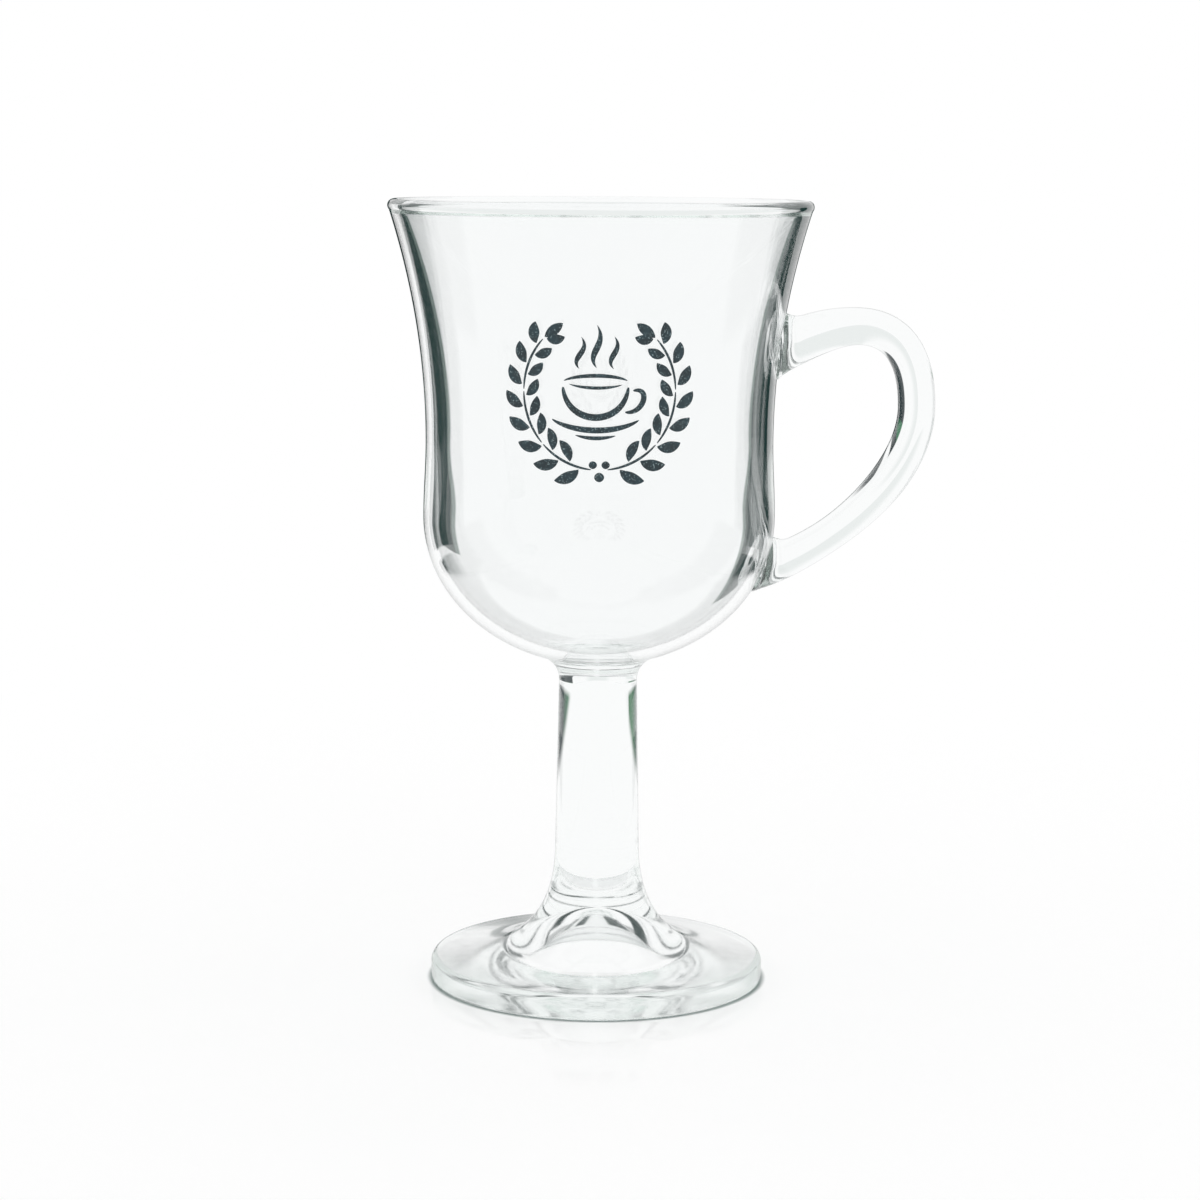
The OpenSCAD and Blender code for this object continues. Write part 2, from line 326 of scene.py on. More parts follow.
def rimDepth(points, rim):
    # How deep points of the bowl's outside lie inside a root's rim: their distance from it, below 0 outside
    a, b = rim, np.roll(rim, -1, 0)
    edge = b - a
    offset = points[:, None] - a
    share = np.clip((offset * edge).sum(-1) / (edge * edge).sum(-1), 0, 1)
    distance = np.linalg.norm(offset - share[..., None] * edge, axis=-1).min(1)
    turn, height = np.arctan2(points[:, 1], points[:, 0])[:, None], points[:, 2][:, None]
    turnA, turnB = (np.arctan2(p[:, 1], p[:, 0]) for p in (a, b))
    crosses = (a[:, 2] > height) != (b[:, 2] > height)
    rise = np.where(crosses, b[:, 2] - a[:, 2], 1)
    passed = crosses & (turn < turnA + (turnB - turnA) * (height - a[:, 2]) / rise)
    return np.where(passed.sum(1) % 2 == 1, distance, -distance)


# Stem and foot

stem = {
    "topRadius": 7.45,
    "lowRadius": 8.1,
    "collarWide": 3.6,
    "collarHigh": 3.3,
    "around": 192,
    "jointSteps": 8,
    "flareSteps": 56,
    "sideSteps": 40,
    "collarSteps": 28,
    "capSteps": 16,
}
foot = {
    "radius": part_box("foot")[1][1] / mm,
    "edgeHeight": 4.8,
    "crownHeight": 7.5,
    "flareHeight": 26.0,
    "flareRadius": 24.0,
    "jointHeight": 17.0,
    "edgeRound": 1.4,
    "baseRound": 0.6,
    "dimpleRadius": 16.5,
    "dimpleHeight": 13.0,
    "around": 288,
    "jointSteps": 8,
    "flareSteps": 64,
    "topSteps": 24,
    "edgeSteps": 20,
    "sideSteps": 12,
    "baseSteps": 12,
    "ringSteps": 24,
    "bellSteps": 72,
}

topSlope = (foot["crownHeight"] - foot["edgeHeight"]) / (foot["radius"] - stem["lowRadius"])
slopeAngle = np.arctan(topSlope)
edgeAt = np.array([foot["radius"] - foot["edgeRound"], foot["edgeHeight"] - foot["edgeRound"]])
edgeTop = edgeAt + foot["edgeRound"] * np.array([np.sin(slopeAngle), np.cos(slopeAngle)])


def stemRadius(z):
    low, top = stem["lowRadius"], stem["topRadius"]
    return low + (top - low) * (z - foot["flareHeight"]) / (bowlZ - foot["flareHeight"])


flareTop = np.array([stemRadius(foot["flareHeight"]), foot["flareHeight"]])
flareBend = np.array([stemRadius(foot["crownHeight"]), foot["crownHeight"]])
flareShare = (foot["flareRadius"] - flareBend[0]) / (edgeTop[0] - flareBend[0])
flareEnd = flareBend + flareShare * (edgeTop - flareBend)
# Where on its curve the flare is as high as the joint: a root of the parabola's height less the joint's
flareA = flareTop[1] - 2 * flareBend[1] + flareEnd[1]
flareB = flareTop[1] - flareBend[1]
jointT = (flareB - np.sqrt(flareB ** 2 - flareA * (flareTop[1] - foot["jointHeight"]))) / flareA


def stemOutline():
    # From the joint's middle out, up the flare and the side, out along the collar and in under the bowl
    collarRadius = stem["topRadius"] + stem["collarWide"]
    collarEnd = np.array([collarRadius, bowlZ + undersideHeight(collarRadius) - weldGap])
    lowZ = bowlZ - stem["collarHigh"]
    flare = bend(flareTop, flareBend, flareEnd, np.linspace(jointT, 0, stem["flareSteps"]))
    share = np.linspace(0, 1, stem["jointSteps"])[:-1, None]
    joint = share * flare[0] + (1 - share) * [0, foot["jointHeight"]]
    sideZ = np.linspace(foot["flareHeight"], lowZ, stem["sideSteps"])[1:-1]
    side = np.stack([stemRadius(sideZ), sideZ], -1)
    share = np.linspace(0, 1, stem["collarSteps"])
    collar = bend((stemRadius(lowZ), lowZ), (stem["topRadius"], bowlZ), collarEnd, share)
    capRadius = np.linspace(collarRadius, 0, stem["capSteps"])[1:]
    cap = np.stack([capRadius, bowlZ + undersideHeight(capRadius) - weldGap], -1)
    outline = np.vstack([joint, flare, side, collar, cap])
    depth = np.full(len(outline), -1.0)
    depth[:len(joint)] = depth[-len(cap):] = 1
    depth[[len(joint), -len(cap) - 1]] = 0
    return outline, depth


def footOutline():
    # From the joint's middle out, down the flare and the sloping top, round the edge, in along the resting
    # ring and up into the bell
    jointZ = foot["jointHeight"] - weldGap
    flare = bend(flareTop, flareBend, flareEnd, np.linspace(jointT, 1, foot["flareSteps"]))
    flare[0, 1] = jointZ
    joint = np.linspace(0, 1, foot["jointSteps"])[:-1, None] * [flare[0, 0], 0] + [0, jointZ]
    top = flareEnd + np.linspace(0, 1, foot["topSteps"])[1:-1, None] * (edgeTop - flareEnd)
    upper = np.linspace(np.pi / 2 - slopeAngle, 0, foot["edgeSteps"])
    edge = edgeAt + foot["edgeRound"] * np.stack([np.cos(upper), np.sin(upper)], -1)
    sideZ = np.linspace(edgeAt[1], foot["baseRound"], foot["sideSteps"])[1:-1]
    side = np.stack([foot["radius"] + 0 * sideZ, sideZ], -1)
    lower = np.linspace(0, np.pi / 2, foot["baseSteps"])
    baseAt = np.array([foot["radius"] - foot["baseRound"], foot["baseRound"]])
    base = baseAt + foot["baseRound"] * np.stack([np.cos(lower), -np.sin(lower)], -1)
    ringRadius = np.linspace(base[-1, 0], foot["dimpleRadius"], foot["ringSteps"])[1:-1]
    ring = np.stack([ringRadius, 0 * ringRadius], -1)
    share = np.linspace(1, 0, foot["bellSteps"])
    bell = np.stack([foot["dimpleRadius"] * share, wave(foot["dimpleHeight"], 0, share)], -1)
    outline = np.vstack([joint, flare, top, edge, side, base, ring, bell])
    depth = np.full(len(outline), -1.0)
    depth[:len(joint)] = 1
    depth[len(joint)] = 0
    return outline, depth


def bowlRings():
    # The whole wall turned about the axis, with the depth of each point inside the three fused places
    outer = bowlSide(0, bowl["bellyRadius"], bowl["waistRadius"], outerTop)
    innerBelly = bowl["bellyRadius"] - bowl["bellyWall"]
    innerWaist = bowl["waistRadius"] - bowl["waistWall"]
    inner = bowlSide(bowl["floor"], innerBelly, innerWaist, innerTop)
    bead = beadPoint(np.linspace(-outerAngle, np.pi + innerAngle, bowl["beadSteps"])[1:-1])
    rings = revolved(np.vstack([outer, bead, inner[::-1]]), bowl["around"])
    depth = np.full(rings.shape[:2], -1.0)
    outside = rings[:len(outer)].reshape(-1, 3)
    fused = stem["topRadius"] + stem["collarWide"] - np.hypot(outside[:, 0], outside[:, 1])
    fused = np.where(outside[:, 2] < bowl["bellyHeight"], fused, -1.0)
    for rim in (upperRim, lowerRim):
        near = np.linalg.norm(outside - rim.mean(0), axis=1) < handle["rootReach"]
        fused[near] = np.maximum(fused[near], rimDepth(outside[near], rim))
    depth[:len(outer)] = fused.reshape(len(outer), -1)
    return rings, depth


# Fired print on the front of the bowl: a cup on its saucer in a wreath, all in brush strokes that leave
# gaps where they meet

artwork = {
    "middle": 54.7,  # height of its middle above the bowl's underside
    "wreathRadius": 14.0,
    "cupScale": 0.8,
    "cupMiddle": (-0.7, 0.2),
    "firstLeaf": 15.0,  # turn of the lowest leaf from straight down, in degrees, and of each next one
    "leafStep": 16.0,
    "leaves": 8,
    "leafLong": 4.9,
    "leafHalf": 1.05,
    "leafTurn": 40.0,
    "leafPulls": ((0.3, 0.16), (0.7, 0.12)),  # shares of its length along and across, which bend it
    "leafOff": 0.42,  # from the twig
    "leafPoint": 0.8,
    "leafShorter": 0.03,  # how much of its length each next leaf loses
    "innerLeaf": 0.86,  # size of an inner leaf as a share of an outer one
    "twigs": 3,
    "twigLead": 9.0,  # degrees that the first twig starts before the first leaf, and that a break takes
    "twigBreak": 1.5,
    "twigHalf": 0.24,
    "twigPoint": 0.3,
    "tipOn": 2.0,  # degrees from the last twig to the leaf at the tip
    "tipLean": 0.15,  # radians
    "tipAlong": (0, 1.3, 2.9, 4.2),
    "tipHalf": 0.95,
    "thick": 0.03,
    "edgeThick": 0.4,  # share of it at a stroke's edge
    "offGlass": 0.012,
    "rings": 36,
    "across": 5,
}
# Four points of each curve, half the stroke's width, and how pointed its ends are
cupStrokes = [
    ((-7.4, 0.9), (-6.6, -8.1), (6.4, -8.3), (7.3, 0.9), 0.62, 0.3),  # cup's side
    ((-7.2, 2.3), (-4.2, 3.8), (4.0, 3.9), (7.1, 2.4), 0.36, 0.5),  # far and near lip
    ((-6.1, 1.6), (-3.0, 0.5), (3.0, 0.4), (6.0, 1.5), 0.3, 0.7),
    ((8.4, 0.1), (12.6, 1.2), (11.0, -5.4), (6.6, -4.7), 0.52, 0.35),  # ear
    ((-9.9, -6.4), (-5.2, -9.5), (5.0, -9.7), (9.8, -6.5), 0.55, 0.5),  # saucer
    ((-4.6, -9.9), (-1.6, -10.8), (1.6, -10.8), (4.5, -10.0), 0.36, 0.6),
    ((-3.7, 5.0), (-6.2, 7.6), (-0.8, 8.8), (-3.3, 12.2), 0.5, 0.8),  # steam
    ((0.2, 5.2), (-2.6, 8.6), (2.9, 10.3), (0.2, 14.9), 0.58, 0.8),
    ((4.0, 5.0), (1.5, 7.6), (6.6, 9.0), (4.1, 12.3), 0.5, 0.8),
]
berries = [
    ((-0.9, -15.3), (-0.3, -15.3), (0.3, -15.3), (0.9, -15.3), 0.85, 0.5),
    ((-1.9, -13.1), (-1.4, -13.1), (-0.9, -13.1), (-0.4, -13.1), 0.7, 0.5),
    ((0.4, -13.1), (0.9, -13.1), (1.4, -13.1), (1.9, -13.1), 0.7, 0.5),
]


def wreathStrokes():
    # Curves, half widths and points of the leaves and twigs of both branches, which follow a circle: each
    # leaf turns out of or into the circle, and the inner ones stand half a step on
    number = np.arange(artwork["leaves"])
    outward = np.array([1, -1])[:, None]
    turn = np.radians(artwork["firstLeaf"] + artwork["leafStep"] * (number + np.array([[0], [0.5]])))
    radius = artwork["wreathRadius"]

    def onCircle(turn, out=0.0):
        return np.stack([(radius + out) * np.sin(turn), -(radius + out) * np.cos(turn)], -1)

    def onward(turn):
        return np.stack([np.cos(turn), np.sin(turn)], -1)

    base = onCircle(turn, artwork["leafOff"] * outward)
    along = onward(turn - outward * radians(artwork["leafTurn"]))
    across = np.stack([along[..., 1], -along[..., 0]], -1) * outward[..., None]
    size = np.array([1, artwork["innerLeaf"]])[:, None]
    long = (artwork["leafLong"] * (1 - artwork["leafShorter"] * number) * size)[..., None]
    pulls = [base + long * (share * along + aside * across) for share, aside in artwork["leafPulls"]]
    leaves = np.stack([base, *pulls, base + long * along], -2)
    leafHalf = artwork["leafHalf"] * size + 0 * turn

    twigStep = artwork["leafStep"] * artwork["leaves"] / artwork["twigs"]
    start = np.radians(artwork["firstLeaf"] - artwork["twigLead"] + twigStep * np.arange(artwork["twigs"]))
    end = start + radians(twigStep - artwork["twigBreak"])
    # A Bezier curve follows an arc when its pulls are 4/3 of the tangent of a quarter of the arc
    pull = 4 / 3 * np.tan((end - start) / 4)[:, None] * radius
    twigs = np.stack([onCircle(start), onCircle(start) + pull * onward(start),
                      onCircle(end) - pull * onward(end), onCircle(end)], -2)
    last = end[-1] + radians(artwork["tipOn"])
    tip = onCircle(last) + np.outer(artwork["tipAlong"], onward(last + artwork["tipLean"]))
    curves = np.concatenate([leaves.reshape(-1, 4, 2), twigs, tip[None]])
    twigHalf = np.full(artwork["twigs"], artwork["twigHalf"])
    half = np.concatenate([leafHalf.ravel(), twigHalf, [artwork["tipHalf"]]])
    leafPoint = np.full(leafHalf.size, artwork["leafPoint"])
    twigPoint = np.full(artwork["twigs"], artwork["twigPoint"])
    point = np.concatenate([leafPoint, twigPoint, leafPoint[:1]])
    return np.concatenate([curves, curves * [-1, 1]]), np.tile(half, 2), np.tile(point, 2)


def printRings():
    # Every stroke as a flat tube: its width is a power of a half sine along it, and its section is a low
    # flat arch
    cup = np.array([stroke[:4] for stroke in cupStrokes]) * artwork["cupScale"] + artwork["cupMiddle"]
    strokes = cupStrokes + berries
    curves, half, point = wreathStrokes()
    curves = np.concatenate([cup, [stroke[:4] for stroke in berries], curves])
    half = np.concatenate([[stroke[4] for stroke in strokes], half])
    point = np.concatenate([[stroke[5] for stroke in strokes], point])
    t = (1 - np.cos(np.linspace(0, np.pi, artwork["rings"]))) / 2
    place, slope = cubic(curves.transpose(1, 0, 2)[:, :, None], t[None])
    wide = half[:, None] * np.clip(np.sin(np.pi * t), 0, 1) ** point[:, None]
    slope = unit(slope)
    side = np.linspace(-1, 1, artwork["across"])
    offset = np.concatenate([side, side[::-1]]) * wide[..., None]
    x = place[..., :1] - slope[..., 1:] * offset
    height = place[..., 1:] + slope[..., :1] * offset + artwork["middle"]
    edgeThick = artwork["edgeThick"]
    arch = artwork["thick"] * (edgeThick + (1 - edgeThick) * np.sqrt(np.clip(1 - side ** 2, 0, 1)))
    glassRadius = bowlRadius(height)
    radius = glassRadius + artwork["offGlass"] + np.concatenate([arch, 0 * arch])
    turn = x / glassRadius - np.pi / 2
    return np.stack([radius * np.cos(turn), radius * np.sin(turn), height], -1)


# Materials

def linear(hexColour):
    # sRGB hex to linear light, by the standard's curve
    srgb = np.array([int(hexColour[k:k + 2], 16) for k in (1, 3, 5)]) / 255
    light = np.where(srgb <= 0.04045, srgb / 12.92, ((srgb + 0.055) / 1.055) ** 2.4)
    return (*light.tolist(), 1.0)


def addNode(tree, kind, inputs=(), out=None, **settings):
    # One node with its settings, and a value or a link for each input named. Gives the node, or its output
    # that out names.
    node = tree.nodes.new(kind)
    for name, value in settings.items():
        setattr(node, name, value)
    for socket, value in dict(inputs).items():
        if isinstance(value, bpy.types.NodeSocket):
            tree.links.new(value, node.inputs[socket])
        else:
            node.inputs[socket].default_value = value
    return node if out is None else node.outputs[out]


def newMaterial(name):
    material = bpy.data.materials.new(name)
    material.use_nodes = True
    material.node_tree.nodes.clear()
    return material, material.node_tree


glassLook = {
    "colour": "#FBFCFC",
    "paintedEdgeFrom": 0.72,  # 0 faces the eye and 1 is edge on
    # the painted shade that the glass's colour darkens to where it turns edge on
    "paintedEdgeShade": "#32423F",
    "ior": 1.52,
    "waveLength": 14,
    "waveDetail": 1.0,
    "waveHeight": 0.01,
    "hazeSize": 3,
    "hazeDetail": 3.0,
    "hazeFrom": 0.35,  # values of the pattern that give the least and the most roughness
    "hazeTo": 0.75,
    "hazeLow": 0.0,
    "haze": 0.015,
    "weldFrom": 0.0001,
    "depthColour": "#DDEDE6",
    "density": 2.5,  # per metre
}

# The foot is pressed in a cooler mould and rubs on tables: its skin is wavier, and what shows through it is
# softer
footLook = dict(glassLook, waveLength=9, waveHeight=0.02, hazeLow=0.06, haze=0.15)


def pressedGlass(name, look):
    # Fire-polished soda-lime glass, pressed or drawn: clear and glossy, with slow waves of the mould in its
    # skin, a trace of haze from wiping, a green that only shows where light runs far through it, and
    # painted
    # shade at the edge: its colour darkens to a grey green where it turns away from the eye. It is cut away
    # where two pieces are fused.
    material, tree = newMaterial(name)
    place = addNode(tree, "ShaderNodeTexCoord", out="Object")
    waves = addNode(tree, "ShaderNodeTexNoise", {
        "Vector": place, "Scale": 1 / (look["waveLength"] * mm), "Detail": look["waveDetail"]}, "Fac")
    skin = addNode(tree, "ShaderNodeBump", {
        "Height": waves, "Strength": 1.0, "Distance": look["waveHeight"] * mm}, "Normal")
    haze = addNode(tree, "ShaderNodeTexNoise", {
        "Vector": place, "Scale": 1 / (look["hazeSize"] * mm), "Detail": look["hazeDetail"]}, "Fac")
    rough = addNode(tree, "ShaderNodeMapRange", {
        "Value": haze, "From Min": look["hazeFrom"], "From Max": look["hazeTo"],
        "To Min": look["hazeLow"], "To Max": look["haze"]}, "Result")
    weld = addNode(tree, "ShaderNodeAttribute", out="Fac", attribute_name="weldDepth")
    openSkin = addNode(tree, "ShaderNodeMath", {0: weld, 1: look["weldFrom"]}, 0, operation="LESS_THAN")
    # Painted shade: the colour darkens to a grey green where the skin turns edge on to the eye
    facing = addNode(tree, "ShaderNodeLayerWeight", {"Blend": 0.5}, "Facing")
    edge = addNode(tree, "ShaderNodeMapRange", {
        "Value": facing, "From Min": look["paintedEdgeFrom"]}, "Result", interpolation_type="SMOOTHSTEP")
    colourWithPaintedEdge = addNode(tree, "ShaderNodeMix", {
        "Factor": edge, "A": linear(look["colour"]), "B": linear(look["paintedEdgeShade"])},
        "Result", data_type="RGBA")
    glass = addNode(tree, "ShaderNodeBsdfPrincipled", {
        "Base Color": colourWithPaintedEdge, "Roughness": rough, "IOR": look["ior"],
        "Transmission Weight": 1.0, "Normal": skin, "Alpha": openSkin}, 0)
    green = addNode(tree, "ShaderNodeVolumeAbsorption", {
        "Color": linear(look["depthColour"]), "Density": look["density"]}, 0)
    addNode(tree, "ShaderNodeOutputMaterial", {"Surface": glass, "Volume": green})
    return material


inkLook = {
    "dark": "#0C2228",
    "thin": "#16323A",
    "pale": "#7F9295",
    "cloudSize": 1.6,
    "cloudDetail": 3.0,
    "cloudFrom": 0.35,  # values of the clouds that give the dark and the thin ink
    "cloudTo": 0.65,
    "pinholeSize": 0.22,
    "pinholeDetail": 0.0,
    "pinholeFrom": 0.69,
    "pinholeTo": 0.73,
    "roughLow": 0.3,
    "roughHigh": 0.45,
    "grainHeight": 0.004,
}


def firedInk(name, look):
    # Ceramic enamel ink, screen printed and fired on: almost black with a little teal, satin, cloudy where
    # it lies thinner, and pricked with the pale pinholes that the kiln leaves
    material, tree = newMaterial(name)
    place = addNode(tree, "ShaderNodeTexCoord", out="Object")
    clouds = addNode(tree, "ShaderNodeTexNoise", {
        "Vector": place, "Scale": 1 / (look["cloudSize"] * mm), "Detail": look["cloudDetail"]}, "Fac")
    thinness = addNode(tree, "ShaderNodeMapRange", {
        "Value": clouds, "From Min": look["cloudFrom"], "From Max": look["cloudTo"]}, "Result")
    ink = addNode(tree, "ShaderNodeMix", {
        "Factor": thinness, "A": linear(look["dark"]), "B": linear(look["thin"])},
        "Result", data_type="RGBA")
    grain = addNode(tree, "ShaderNodeTexNoise", {
        "Vector": place, "Scale": 1 / (look["pinholeSize"] * mm), "Detail": look["pinholeDetail"]}, "Fac")
    pinhole = addNode(tree, "ShaderNodeMapRange", {
        "Value": grain, "From Min": look["pinholeFrom"], "From Max": look["pinholeTo"]}, "Result")
    colour = addNode(tree, "ShaderNodeMix", {
        "Factor": pinhole, "A": ink, "B": linear(look["pale"])}, "Result", data_type="RGBA")
    rough = addNode(tree, "ShaderNodeMapRange", {
        "Value": clouds, "From Min": look["cloudFrom"], "From Max": look["cloudTo"],
        "To Min": look["roughLow"], "To Max": look["roughHigh"]}, "Result")
    skin = addNode(tree, "ShaderNodeBump", {
        "Height": grain, "Strength": 1.0, "Distance": look["grainHeight"] * mm}, "Normal")
    enamel = addNode(tree, "ShaderNodeBsdfPrincipled", {
        "Base Color": colour, "Roughness": rough, "Normal": skin}, 0)
    addNode(tree, "ShaderNodeOutputMaterial", {"Surface": enamel})
    return material


# Stage: a white table in a white room. What shows through glass has dark bands and cards in it, as on a
# photographer's table, because clear glass on plain white has no outline. Only light that went through
# glass or came off a glossy skin sees them. Lengths are metres here, and turns and rises are degrees.

# A ray's depth counts the glass surfaces that it went through, or the mirrors that it met: solid glass has
# two surfaces on its way, and the walls of the hollow bowl have four
metDepth = 0.5
hollowDepth = 2.5


def allOf(tree, *masks):
    # The product of masks, which is 1 where every one is 1
    result = masks[0]
    for mask in masks[1:]:
        result = addNode(tree, "ShaderNodeMath", {0: result, 1: mask}, 0, operation="MULTIPLY")
    return result


def anyOf(tree, *masks):
    # The strongest of masks
    result = masks[0]
    for mask in masks[1:]:
        result = addNode(tree, "ShaderNodeMath", {0: result, 1: mask}, 0, operation="MAXIMUM")
    return result


def between(tree, value, low, high, soft, shape="SMOOTHSTEP"):
    # 1 between two limits and 0 outside them, with soft edges
    start = addNode(tree, "ShaderNodeMapRange", {
        "Value": value, "From Min": low - soft, "From Max": low + soft}, "Result", interpolation_type=shape)
    end = addNode(tree, "ShaderNodeMapRange", {
        "Value": value, "From Min": high - soft, "From Max": high + soft, "To Min": 1.0, "To Max": 0.0},
        "Result", interpolation_type=shape)
    return allOf(tree, start, end)


def rayKinds(tree):
    # Whether light came straight through the hollow bowl, straight through solid glass, over a mirror
    # bounce, or over one after it met glass
    path = addNode(tree, "ShaderNodeLightPath").outputs
    depth = path["Transmission Depth"]
    mirrored = addNode(tree, "ShaderNodeMath", {
        0: path["Glossy Depth"], 1: metDepth}, 0, operation="GREATER_THAN")
    straight = addNode(tree, "ShaderNodeMath", {
        0: path["Is Transmission Ray"], 1: mirrored}, 0, operation="SUBTRACT", use_clamp=True)
    hollow = addNode(tree, "ShaderNodeMath", {0: depth, 1: hollowDepth}, 0, operation="GREATER_THAN")
    solid = addNode(tree, "ShaderNodeMath", {0: 1.0, 1: hollow}, 0, operation="SUBTRACT")
    metGlass = addNode(tree, "ShaderNodeMath", {0: depth, 1: metDepth}, 0, operation="GREATER_THAN")
    inner = allOf(tree, mirrored, metGlass)
    return allOf(tree, straight, hollow), allOf(tree, straight, solid), mirrored, inner


table = {
    "halfSize": 3.0,
    "under": 0.00002,  # below the resting ring, so that no two faces share one place
    "colour": "#FFFFFF",
    "paintedShadowColour": "#7C8886",  # the painted shadow line where the foot touches the sheet
    "contact": (0.032, 0.0332),
    "shineIor": 1.3,
    "shineRough": 0.05,
    "shine": (0.04, 0.075),  # the sheet's shine fades out over these distances from the middle
    "white": (0.16, 0.34),  # and its shadows over these
    "halfWide": 0.15,  # where the table ends for light that came through solid glass
    "sideSoft": 0.015,
    "reachLeft": 0.45,  # how far out it goes for light that came through the hollow bowl
    "reachRight": 0.25,
    "reachBlend": 0.01,
    "cardReach": (0.44, 0.52),  # where, past its side, solid glass stops seeing the left card
    "strip": (0.268, 0.338),  # start and end of the light strip that lies past its sides
    "stripSoft": 0.005,
}


def whiteSheet(tree, distance):
    # Matt white, its colour painted darker in a shadow line under the foot, and a little shine near it. Far
    # off and through glass it is plain white, as it is where it stands lit from all sides.
    # Painted shadow: the sheet's colour darkens to grey in a thin ring round the foot's resting edge
    start, end = table["contact"]
    contact = addNode(tree, "ShaderNodeMapRange", {
        "Value": distance, "From Min": start, "From Max": end}, "Result", interpolation_type="SMOOTHSTEP")
    sheetWithPaintedShadow = addNode(tree, "ShaderNodeMix", {
        "Factor": contact, "A": linear(table["paintedShadowColour"]), "B": linear(table["colour"])},
        "Result", data_type="RGBA")
    sheet = addNode(tree, "ShaderNodeBsdfDiffuse", {"Color": sheetWithPaintedShadow}, 0)
    shine = addNode(tree, "ShaderNodeBsdfGlossy", {
        "Color": (1, 1, 1, 1), "Roughness": table["shineRough"]}, 0)
    grazing = addNode(tree, "ShaderNodeFresnel", {"IOR": table["shineIor"]}, 0)
    start, end = table["shine"]
    near = addNode(tree, "ShaderNodeMapRange", {
        "Value": distance, "From Min": start, "From Max": end, "To Min": 1.0, "To Max": 0.0},
        "Result", interpolation_type="SMOOTHSTEP")
    lit = addNode(tree, "ShaderNodeMixShader", {0: allOf(tree, grazing, near), 1: sheet, 2: shine}, 0)
    start, end = table["white"]
    far = addNode(tree, "ShaderNodeMapRange", {
        "Value": distance, "From Min": start, "From Max": end}, "Result", interpolation_type="SMOOTHSTEP")
    through = addNode(tree, "ShaderNodeLightPath", out="Is Transmission Ray")
    white = addNode(tree, "ShaderNodeEmission", {"Color": (1, 1, 1, 1), "Strength": 1.0}, 0)
    return addNode(tree, "ShaderNodeMixShader", {0: anyOf(tree, far, through), 1: lit, 2: white}, 0)


def pastTable(tree, place, distance):
    # Where light that came through glass sees the room instead of the table
    hollow, solid, mirrored = rayKinds(tree)[:3]
    x = addNode(tree, "ShaderNodeSeparateXYZ", {0: place}, "X")
    reach = addNode(tree, "ShaderNodeMapRange", {
        "Value": x, "From Min": -table["reachBlend"], "From Max": table["reachBlend"],
        "To Min": table["reachLeft"], "To Max": table["reachRight"]}, "Result")
    pastReach = addNode(tree, "ShaderNodeMath", {0: distance, 1: reach}, 0, operation="GREATER_THAN")
    across = addNode(tree, "ShaderNodeMath", {0: x}, 0, operation="ABSOLUTE")
    half, soft = table["halfWide"], table["sideSoft"]
    pastSide = addNode(tree, "ShaderNodeMapRange", {
        "Value": across, "From Min": half - soft, "From Max": half + soft},
        "Result", interpolation_type="SMOOTHSTEP")
    onLeft = addNode(tree, "ShaderNodeMath", {0: x, 1: 0.0}, 0, operation="LESS_THAN")
    leftDistance = allOf(tree, onLeft, solid, distance)
    start, end = table["cardReach"]
    inReach = addNode(tree, "ShaderNodeMapRange", {
        "Value": leftDistance, "From Min": start, "From Max": end, "To Min": 1.0, "To Max": 0.0},
        "Result", interpolation_type="SMOOTHSTEP")
    strip = between(tree, distance, *table["strip"], table["stripSoft"], "LINEAR")
    offStrip = addNode(tree, "ShaderNodeMath", {0: 1.0, 1: strip}, 0, operation="SUBTRACT")
    aside = allOf(tree, anyOf(tree, solid, mirrored), pastSide, inReach, offStrip)
    return anyOf(tree, allOf(tree, hollow, pastReach), aside)


def makeTable():
    half, z = table["halfSize"], -table["under"]
    corners = [(-half, -half, z), (half, -half, z), (half, half, z), (-half, half, z)]
    mesh = bpy.data.meshes.new("floor")
    mesh.from_pydata(corners, [], [(0, 1, 2, 3)])
    floor = bpy.data.objects.new("floor", mesh)
    bpy.context.scene.collection.objects.link(floor)
    material, tree = newMaterial("white acrylic sheet")
    place = addNode(tree, "ShaderNodeTexCoord", out="Object")
    distance = addNode(tree, "ShaderNodeVectorMath", {0: place}, "Value", operation="LENGTH")
    seen = whiteSheet(tree, distance)
    nothing = addNode(tree, "ShaderNodeBsdfTransparent", {"Color": (1, 1, 1, 1)}, 0)
    surface = addNode(tree, "ShaderNodeMixShader", {
        0: pastTable(tree, place, distance), 1: seen, 2: nothing}, 0)
    addNode(tree, "ShaderNodeOutputMaterial", {"Surface": surface})
    mesh.materials.append(material)
    print("table made")


room = {
    "mainTurn": 45.0,  # dark bands stand on both sides of every main direction
    "halfBand": (9.4, 18.5),
    "darkBand": (10.5, 18.5),
    "rightBand": (10.2, 23.0),
    "bandSoft": 0.25,
    "halfColour": "#86938E",
    "bandColour": "#223836",
    "aheadColour": "#EDF0EF",  # what solid glass shows close to a main direction
    "aheadHalf": 10.0,
    "aheadSoft": 4.0,
    # What mirror bounces see dark: turns from the back towards the right, rises, and how dark
    "mirrorDark": (
        (-62, -34, -30, 4, 1.0),
        (34, 62, -30, 4, 1.0),
        (-17, -2, -30, 6, 1.0),
        (5, 13, -30, 4, 1.0),
    ),
    # The same for mirror bounces after the light went into the glass
    "innerDark": (
        (2, 36, -30, 6, 1.0),
        (-40, -1, 4, 26, 1.0),
        (4, 62, 2, 26, 1.0),
        (-85, -50, 5, 70, 0.5),
        (50, 85, 5, 70, 0.5),
    ),
    "windowSoft": 1.0,
}
